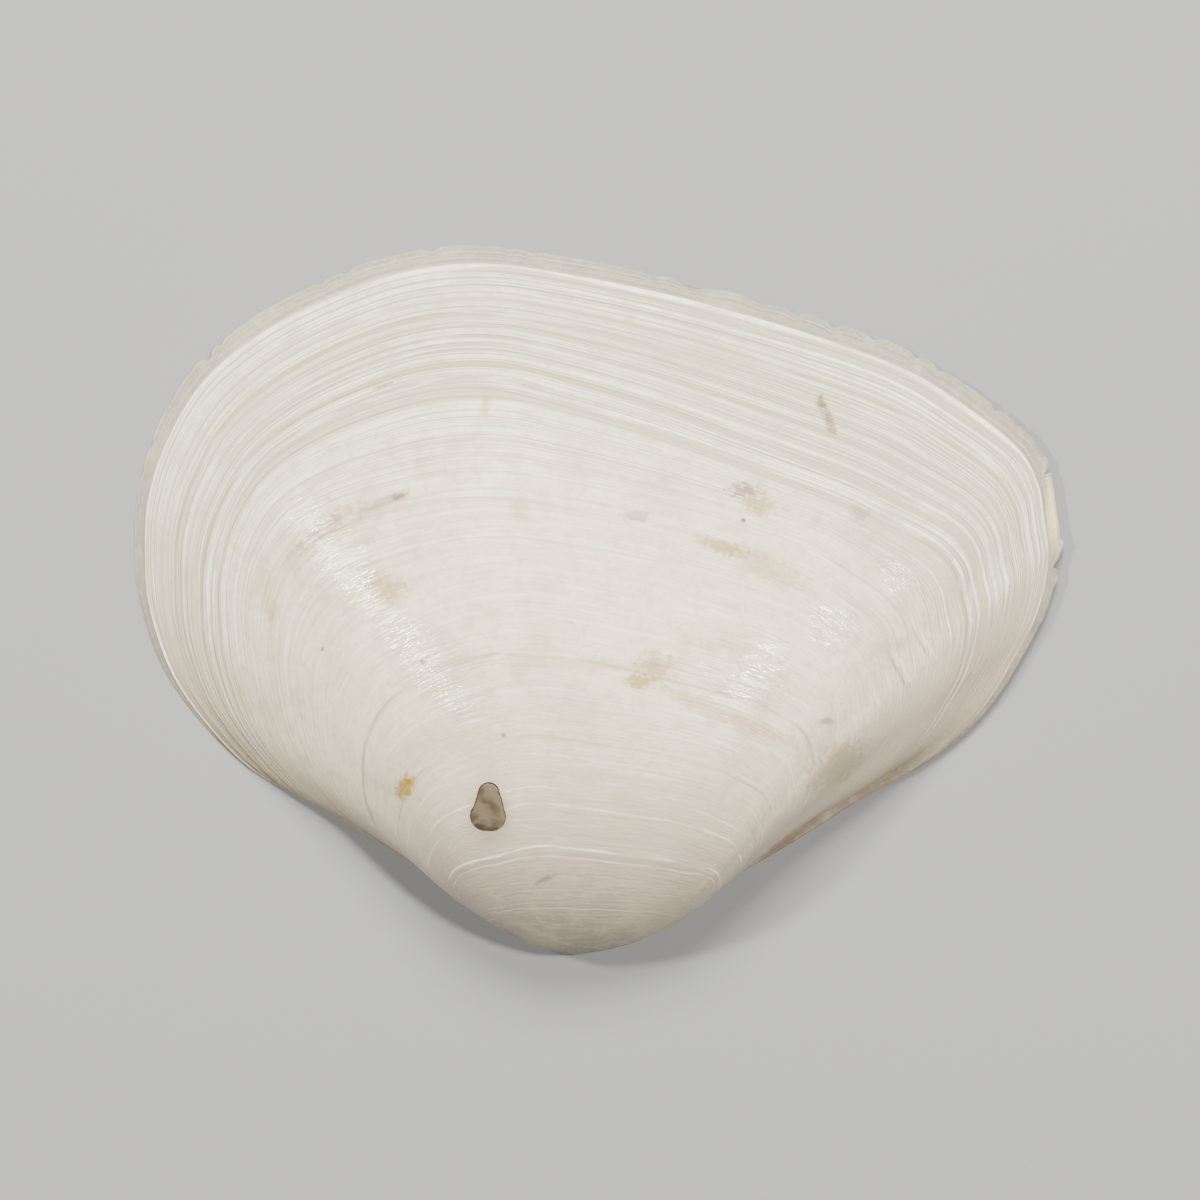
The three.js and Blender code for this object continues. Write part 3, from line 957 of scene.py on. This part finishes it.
@dataclass(frozen=True)
class BoreFinish:
    """The drilled wall of the snail's hole: the same shell, ground bare, coloured brown with painted shade.
    """

    # painted shade: brown, darker in blotches, where the wall is seen from above
    colour: str = "9A8E78"
    deep: str = "6E6048"
    roughness: float = 0.7
    grains: tuple[Grain, ...] = (Grain("bore blotches", Chart.SPACE, (0.5556, 0.5556), 3.0),)

    def material(self) -> bpy.types.Material:
        """Makes the material of the hole's wall."""
        dressing = Dressing("bore_wall_painted_shade")
        dressing.grow(self.grains)
        colour = dressing.lay(rgb(self.deep), (Coat(self.colour, (Mask("bore blotches"),)),))
        dressing.tree.links.new(colour, dressing.shader.inputs["Base Color"])
        dressing.shader.inputs["Roughness"].default_value = self.roughness
        return dressing.material


@dataclass(frozen=True)
class HoleShadeFinish:
    """Painted shade in the snail's hole: a matt olive-brown sheet for the shaded view through it, darkest in
    a crescent along its lower left edge.
    """

    colour: str = "6A604E"
    darker_shade: str = "4A4130"
    crescent_shade: str = "2E2410"
    roughness: float = 0.75
    # painted shade: the darkest crescent along the hole's lower left edge
    shaded_crescent: Oval = Oval((484.0, 830.0), (1.3, 0.6), -18.0)
    grains: tuple[Grain, ...] = (
        Grain("edge", Chart.SPACE, (0.6, 0.6), 3.0), Grain("shade blotches", Chart.SPACE, (0.9, 0.9), 2.0))

    def material(self) -> bpy.types.Material:
        """Makes the mud's material."""
        dressing = Dressing("painted_shade_in_hole")
        dressing.grow(self.grains)
        dressing.measures["crescent"] = dressing.reach_of(self.shaded_crescent)
        dressing.measures["torn crescent"] = dressing.total(
            ((Mask("crescent"),), (Mask("edge", (0.3, 0.7), (-0.25, 0.25)),)))
        colour = dressing.lay(rgb(self.colour), (
            Coat(self.darker_shade, (Mask("shade blotches", (0.4, 0.62)),)),
            # painted shade in a crescent along the lower left edge
            Coat(self.crescent_shade, (Mask("torn crescent", (0.4, 1.3), (0.9, 0.0)),)),
        ))
        dressing.tree.links.new(colour, dressing.shader.inputs["Base Color"])
        dressing.shader.inputs["Roughness"].default_value = self.roughness
        return dressing.material


@dataclass
class HingeTeeth:
    """The two small teeth under the beak and the nymph, the ledge behind them that bore the ligament."""

    teeth: tuple[tuple[float, float, float], ...] = (      # x, y, and slant in radians
        (-0.5, 2.7, 0.45), (0.9, 2.6, -0.25))
    length: float = 1.5
    width: float = 0.5
    tip: float = 0.12
    root: float = 1.3
    nymph_from: tuple[float, float] = (2.6, 2.5)
    nymph_to: tuple[float, float] = (8.6, 5.9)
    nymph_width: float = 0.9
    nymph_tip: float = 0.24
    rounding: float = 0.2
    ring: tuple[float, float] = (0.0, 0.5)      # the place and stage whose colour they take
    segments: int = 4

    def build(self, hinge: Vector) -> bpy.types.Object:
        """Makes the teeth and the nymph as one mesh.

        Args:
            hinge: Where the hinge's middle stands, in metres.

        Returns:
            The mesh, in metres, with the skin's inside attribute and rings UV map.
        """
        bars = []
        for x, y, slant in self.teeth:
            turn = math.pi / 2 + slant
            bars.append(self.bar(hinge, Vector((x, y)), self.length, self.width, self.tip, turn))
        start, end = Vector(self.nymph_from), Vector(self.nymph_to)
        run = end - start
        turn = math.atan2(run.y, run.x)
        bars.append(self.bar(hinge, (start + end) / 2, run.length, self.nymph_width, self.nymph_tip, turn))
        bpy.ops.object.select_all(action="DESELECT")
        for bar in bars:
            bar.select_set(True)
        bpy.context.view_layer.objects.active = bars[0]
        bpy.ops.object.join()
        mesh = bars[0].data
        inside = mesh.attributes.new("inside", "FLOAT", "POINT")
        inside.data.foreach_set("value", [Face.INNER.value] * len(mesh.vertices))
        mesh.uv_layers[0].name = "rings"
        mesh.uv_layers[0].data.foreach_set("uv", list(self.ring) * len(mesh.loops))
        return bars[0]

    def bar(self, hinge: Vector, middle: Vector, length: float, width: float, tip: float,
            turn: float) -> bpy.types.Object:
        """Makes one rounded bar that stands from the hinge plate down to near the rim's plane."""
        bpy.ops.object.select_all(action="DESELECT")
        place = hinge + Vector((middle.x, middle.y, (self.root + tip) / 2)) * MM
        size = (length * MM, width * MM, (self.root - tip) * MM)
        bpy.ops.mesh.primitive_cube_add(size=1.0, location=place, rotation=(0.0, 0.0, turn), scale=size)
        bpy.ops.object.transform_apply(location=True, rotation=True, scale=True)
        bar = bpy.context.object
        soften = bar.modifiers.new("rounding", "BEVEL")
        soften.width = self.rounding * MM
        soften.segments = self.segments
        bpy.ops.object.modifier_apply(modifier=soften.name)
        return bar


@dataclass
class Valve:
    """The valve: a fine skin grown ring by ring, its hinge teeth, and the hole drilled through it."""

    growth: Growth = field(default_factory=Growth)
    sculpture: Sculpture = field(default_factory=Sculpture)
    columns: int = 372
    outer_rows: int = 226
    inner_rows: int = 31
    hinge_columns: float = 0.5             # how close the columns stand along the hinge
    margin_columns: float = 0.8            # how much closer along the lower margin
    margin_from: tuple[float, float] = (14.0, 27.0)     # millimetres from the hinge line
    chip_columns: float = 3.0              # and how much closer at a chip
    column_steps: int = 4001
    row_stages: tuple[tuple[float, float], ...] = (     # share of the outer rows, and the stage it reaches
        (0.0, 0.018), (0.09, 0.1), (0.42, 0.68), (1.0, 1.0))
    last_inner_stage: float = 0.089
    rim_stages: tuple[float, float] = (0.97, 1.0)       # over which the inner face takes on the outer relief
    inner_crowding: float = 1.35           # how much closer the inner rows stand at the margin
    bore_lobes: tuple[tuple[float, float, float], ...] = (     # x, y and radius of the pear's circles
        (-5.5, 7.04, 0.92), (-5.14, 7.04, 0.92), (-5.27, 7.3, 0.95), (-5.26, 7.6, 0.88), (-5.25, 7.9, 0.79),
        (-5.25, 8.17, 0.7), (-5.25, 8.42, 0.63))
    bore_centre: tuple[float, float] = (-5.25, 7.6)
    bore_sides: int = 64
    bore_above: float = 0.6
    bore_below: float = 3.0
    bore_widest: float = 1.08              # against the outline, over the outer face
    bore_narrowest: float = 0.6            # and under the inner one
    # the sheet of painted shade that closes the hole: its depth under the outer face, its dome, its slope
    # and its mesh
    shade_sheet_depth: float = 0.17
    shade_sheet_dome: float = 0.1
    shade_sheet_slope: tuple[float, float] = (0.24, 0.335)      # the outer face's own, along x and y
    shade_sheet_rounds: tuple[int, int] = (48, 16)
    smooth_below: float = 50.0             # degrees between faces that are shaded as one
    hinge: Vector = field(default_factory=Vector, init=False)   # where the hinge's middle stands, in metres

    def stages(self) -> tuple[np.ndarray, np.ndarray]:
        """Growth stages of the outer and of the inner rows.

        Returns:
            The outer stages from the beak to the margin, closest over the crowded lower third, and the
            inner ones from the margin to the deepest point.
        """
        share = np.linspace(0.0, 1.0, self.outer_rows)
        outer = np.interp(share, *zip(*self.row_stages))
        inner = np.linspace(0.0, 1.0, self.inner_rows) ** self.inner_crowding
        inner = 1.0 - (1.0 - self.last_inner_stage) * inner
        return outer, inner

    def places(self) -> np.ndarray:
        """Places of the columns, closer along the lower margin than along the hinge."""
        fine = np.linspace(0.0, 1.0, self.column_steps)
        x, y = self.growth.edge(fine)
        close = self.hinge_columns + self.margin_columns * smoothstep(*self.margin_from, y[1:])
        for chip in self.sculpture.chips:
            reach = 2.0 * chip.half / MARGIN_LENGTH
            close = close + self.chip_columns * bump(fine[1:], chip.place, reach)
        step = np.hypot(np.diff(x), np.diff(y)) * close
        run = np.concatenate(([0.0], np.cumsum(step)))
        return np.interp(np.linspace(0.0, 1.0, self.columns + 1), run / run[-1], fine)

    def build(self) -> bpy.types.Object:
        """Makes the valve.

        Returns:
            The finished object, in metres at the CAD node's place.
        """
        valve = self.skin()
        LOG.info("skin: %d faces", len(valve.data.polygons))
        shell = ShellFinish().material()
        valve.data.materials.append(shell)
        self.seat(valve)
        top = self.height_over_bore(valve)
        self.drill(valve, top)
        LOG.info("drilled: %d faces", len(valve.data.polygons))
        self.fill(valve, top)
        self.add_teeth(valve)
        LOG.info("toothed: %d faces", len(valve.data.polygons))
        bpy.ops.object.select_all(action="DESELECT")
        valve.select_set(True)
        bpy.context.view_layer.objects.active = valve
        bpy.ops.object.shade_smooth_by_angle(angle=math.radians(self.smooth_below))
        return valve

    def skin(self) -> bpy.types.Object:
        """Grows the closed skin from a grid, in millimetres, and brings it to metres.

        Returns:
            The skin, with the hinge over the origin.
        """
        outer, inner = self.stages()
        places = self.places()
        rows = len(outer) + len(inner)
        bpy.ops.object.select_all(action="DESELECT")
        bpy.ops.mesh.primitive_grid_add(x_subdivisions=self.columns, y_subdivisions=rows - 1, size=1.0)
        valve = bpy.context.object
        valve.name = "valve_right"
        mesh = valve.data
        start = np.empty(len(mesh.vertices) * 3)
        mesh.vertices.foreach_get("co", start)
        start = start.reshape(-1, 3)
        column = np.rint((start[:, 0] + 0.5) * self.columns).astype(int)
        row = np.rint((start[:, 1] + 0.5) * (rows - 1)).astype(int)

        place = places[None, :]
        grown = self.sculpture.chipped(outer[:, None], place)
        relief = self.sculpture.relief(self.growth, outer[:, None], place)
        outer_points = self.growth.outer(grown, place, relief / self.sculpture.slope_of_wall)
        worn = self.sculpture.chipped(inner[:, None], place)
        rim = smoothstep(*self.rim_stages, inner[:, None])
        rim_relief = relief[-1:] / self.sculpture.slope_of_wall * rim
        inner_points = self.growth.inner(worn, place, rim_relief)
        points = np.concatenate((outer_points, inner_points))
        mesh.vertices.foreach_set("co", points[row, column].ravel())

        stage = np.concatenate((outer, inner))
        side = np.concatenate((np.full(len(outer), Face.OUTER.value), np.full(len(inner), Face.INNER.value)))
        heights = np.concatenate((relief, np.zeros((len(inner), len(places)))))
        for name, values in (("relief", heights[row, column]), ("inside", side[row])):
            layer = mesh.attributes.new(name, "FLOAT", "POINT")
            layer.data.foreach_set("value", values.astype(np.float32))
        corners = np.empty(len(mesh.loops), dtype=np.int32)
        mesh.loops.foreach_get("vertex_index", corners)
        rings = mesh.uv_layers[0]
        rings.name = "rings"
        rings.data.foreach_set("uv", np.stack((places[column], stage[row]), 1)[corners].ravel())
        self.close(valve)
        return valve

    def close(self, valve: bpy.types.Object) -> None:
        """Joins the skin's seam, closes its two ends, turns its faces outward and brings it to metres."""
        bpy.ops.object.mode_set(mode="EDIT")
        bpy.ops.mesh.select_all(action="SELECT")
        bpy.ops.mesh.remove_doubles(threshold=1e-5)
        bpy.ops.mesh.select_all(action="DESELECT")
        bpy.ops.mesh.select_mode(type="EDGE")
        bpy.ops.mesh.select_non_manifold()
        bpy.ops.mesh.fill_holes(sides=0)
        bpy.ops.mesh.select_all(action="SELECT")
        bpy.ops.mesh.normals_make_consistent(inside=False)
        bpy.ops.transform.resize(value=(MM, MM, MM), center_override=(0.0, 0.0, 0.0))
        bpy.ops.object.mode_set(mode="OBJECT")

    def seat(self, valve: bpy.types.Object) -> None:
        """Moves the valve's vertices so that it stands where its solid stands."""
        low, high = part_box(NODE)
        points = np.empty(len(valve.data.vertices) * 3)
        valve.data.vertices.foreach_get("co", points)
        points = points.reshape(-1, 3)
        middle = (points.min(0) + points.max(0)) / 2
        shift = Vector(((low.x + high.x) / 2 - middle[0], (low.y + high.y) / 2 - middle[1],
                        low.z - points[:, 2].min()))
        valve.data.transform(Matrix.Translation(shift))
        self.hinge = shift

    def bore_reach(self, angle: float) -> float:
        """How far the hole's outline lies from its middle, in a direction."""
        middle = self.bore_centre
        ray = Vector((math.cos(angle), math.sin(angle)))
        reach = 0.0
        for x, y, radius in self.bore_lobes:
            offset = Vector((x - middle[0], y - middle[1]))
            along = offset.dot(ray)
            inside = radius**2 - offset.length_squared + along**2
            if inside > 0.0:
                reach = max(reach, along + math.sqrt(inside))
        return reach

    def drill(self, valve: bpy.types.Object, top: float) -> None:
        """Cuts the pear-shaped hole that a predatory snail drilled, narrower inside than out.

        Args:
            valve: The valve.
            top: Height of the outer face over the hole, in metres.
        """
        middle = self.bore_middle()
        bpy.ops.object.select_all(action="DESELECT")
        bpy.ops.mesh.primitive_cylinder_add(vertices=self.bore_sides, radius=1.0, depth=2.0)
        cutter = bpy.context.object
        for vertex in cutter.data.vertices:
            angle = math.atan2(vertex.co.y, vertex.co.x)
            upper = vertex.co.z > 0.0
            reach = self.bore_reach(angle) * (self.bore_widest if upper else self.bore_narrowest)
            height = self.bore_above if upper else -self.bore_below
            place = Vector((reach * math.cos(angle), reach * math.sin(angle), height)) * MM
            vertex.co = middle + place + Vector((0.0, 0.0, top))
        cutter.data.materials.append(BoreFinish().material())
        cut = valve.modifiers.new("bore", "BOOLEAN")
        cut.operation = "DIFFERENCE"
        cut.solver = "EXACT"
        cut.material_mode = "TRANSFER"
        cut.object = cutter
        bpy.context.view_layer.objects.active = valve
        bpy.ops.object.modifier_apply(modifier=cut.name)
        bpy.data.objects.remove(cutter)

    def add_teeth(self, valve: bpy.types.Object) -> None:
        """Grows the hinge teeth and the nymph out of the hinge plate."""
        teeth = HingeTeeth().build(self.hinge)
        teeth.data.materials.append(valve.data.materials[0])
        grow = valve.modifiers.new("teeth", "BOOLEAN")
        grow.operation = "UNION"
        grow.solver = "EXACT"
        grow.object = teeth
        bpy.context.view_layer.objects.active = valve
        bpy.ops.object.modifier_apply(modifier=grow.name)
        bpy.data.objects.remove(teeth)

    def bore_middle(self) -> Vector:
        """Where the hole's middle is, on the floor, in metres."""
        x, y = self.bore_centre
        return Vector((x * MM + self.hinge.x, y * MM + self.hinge.y, 0.0))

    def height_over_bore(self, valve: bpy.types.Object) -> float:
        """Height of the outer face where the hole is to be, in metres."""
        bpy.context.view_layer.update()
        start = self.bore_middle() + Vector((0.0, 0.0, 2.0 * cad_high.z))
        return valve.ray_cast(start, Vector((0.0, 0.0, -1.0)))[1].z

    def fill(self, valve: bpy.types.Object, top: float) -> None:
        """Bridges the hole with a sheet of painted shade, a little under the outer face.

        Args:
            valve: The drilled valve, which the sheet is joined to.
            top: Height of the outer face over the hole, in metres.
        """
        middle = self.bore_middle()
        bpy.ops.object.select_all(action="DESELECT")
        around, down = self.shade_sheet_rounds
        bpy.ops.mesh.primitive_uv_sphere_add(segments=around, ring_count=down, radius=1.0)
        shade_sheet = bpy.context.object
        for vertex in shade_sheet.data.vertices:
            angle = math.atan2(vertex.co.y, vertex.co.x)
            reach = self.bore_reach(angle) * math.hypot(vertex.co.x, vertex.co.y) * MM
            place = Vector((reach * math.cos(angle), reach * math.sin(angle), 0.0))
            sag = self.shade_sheet_slope[0] * place.x + self.shade_sheet_slope[1] * place.y
            sag = sag + (self.shade_sheet_dome * vertex.co.z - self.shade_sheet_depth) * MM
            vertex.co = middle + place + Vector((0.0, 0.0, top + sag))
        # painted shade: a brown sheet that stands for the shaded view through the hole
        shade_sheet.data.materials.append(HoleShadeFinish().material())
        shade_sheet.select_set(True)
        valve.select_set(True)
        bpy.context.view_layer.objects.active = valve
        bpy.ops.object.join()


@dataclass(frozen=True)
class SoftBox:
    """A soft light.

    Args:
        azimuth: Where it stands round the valve, in degrees from +X.
        elevation: How high it stands, in degrees.
        distance: How far it is, in metres.
        size: Its width, in metres.
        power: Its power, in watts.
        colour: Its sRGB code.
    """

    azimuth: float
    elevation: float
    distance: float
    size: float
    power: float
    colour: str = "FFF8EC"

    def place(self, name: str) -> None:
        """Puts the light in the scene, turned to the valve."""
        data = bpy.data.lights.new(name, "AREA")
        data.shape = "DISK"
        data.size = self.size
        data.energy = self.power
        data.color = rgb(self.colour)[:3]
        light = bpy.data.objects.new(name, data)
        bpy.context.scene.collection.objects.link(light)
        turn, lift = math.radians(self.azimuth), math.radians(self.elevation)
        across = math.cos(lift)
        toward = Vector((across * math.cos(turn), across * math.sin(turn), math.sin(lift)))
        light.location = toward * self.distance
        light.rotation_euler = toward.to_track_quat("Z", "Y").to_euler()


@dataclass
class Studio:
    """Pale floor, soft lights, and a camera straight above."""

    camera_height: float = 0.5
    sensor: float = 36.0
    rim_height: float = 0.002
    floor_size: float = 1.2
    floor_drop: float = 0.00005            # clear of the rim, so that the two don't flicker
    floor_colour: str = "8F9397"
    sky_colour: str = "F4F3F0"
    sky_strength: float = 0.05
    lights: tuple[SoftBox, ...] = (
        SoftBox(88.0, 50.0, 0.6, 0.26, 6.9),
        SoftBox(162.0, 46.0, 0.55, 0.06, 3.0),
        SoftBox(7.0, 61.5, 0.55, 0.06, 3.6),
    )

    def build(self) -> None:
        """Makes the floor, the lights, the sky and the camera."""
        self.floor()
        for number, light in enumerate(self.lights):
            light.place(f"softbox_{number}")
        self.sky()
        self.camera()

    def floor(self) -> None:
        """Lays the floor under the valve's rim."""
        bpy.ops.object.select_all(action="DESELECT")
        bpy.ops.mesh.primitive_plane_add(size=self.floor_size, location=(0.0, 0.0, -self.floor_drop))
        floor = bpy.context.object
        floor.name = "floor"
        material = bpy.data.materials.new("pale_matt_card")
        material.use_nodes = True
        shader = material.node_tree.nodes["Principled BSDF"]
        shader.inputs["Base Color"].default_value = rgb(self.floor_colour)
        shader.inputs["Roughness"].default_value = 0.9
        floor.data.materials.append(material)

    def sky(self) -> None:
        """Even light from all round."""
        world = bpy.data.worlds.new("studio")
        world.use_nodes = True
        background = world.node_tree.nodes["Background"]
        background.inputs["Color"].default_value = rgb(self.sky_colour)
        background.inputs["Strength"].default_value = self.sky_strength
        bpy.context.scene.world = world

    def camera(self) -> None:
        """Stands the camera over the valve, framed as the picture is."""
        data = bpy.data.cameras.new("camera")
        data.sensor_width = self.sensor
        view = FRAME_PIXELS * PIXEL_MM * MM
        data.lens = self.sensor * (self.camera_height - self.rim_height) / view
        camera = bpy.data.objects.new("camera", data)
        middle = FRAME_PIXELS / 2.0
        x, y = from_pixel(middle, middle)
        camera.location = (x * MM, y * MM, self.camera_height)
        bpy.context.scene.collection.objects.link(camera)
        bpy.context.scene.camera = camera


def main() -> None:
    """Builds the valve and its studio, and reports each piece."""
    logging.basicConfig(level=logging.INFO, format="%(name)s: %(message)s")
    valve = Valve().build()
    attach(valve, BODY)
    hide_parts(NODE)
    LOG.info("valve: %d faces", len(valve.data.polygons))
    Studio().build()
    LOG.info("studio built")


if __name__ == "__main__":
    main()
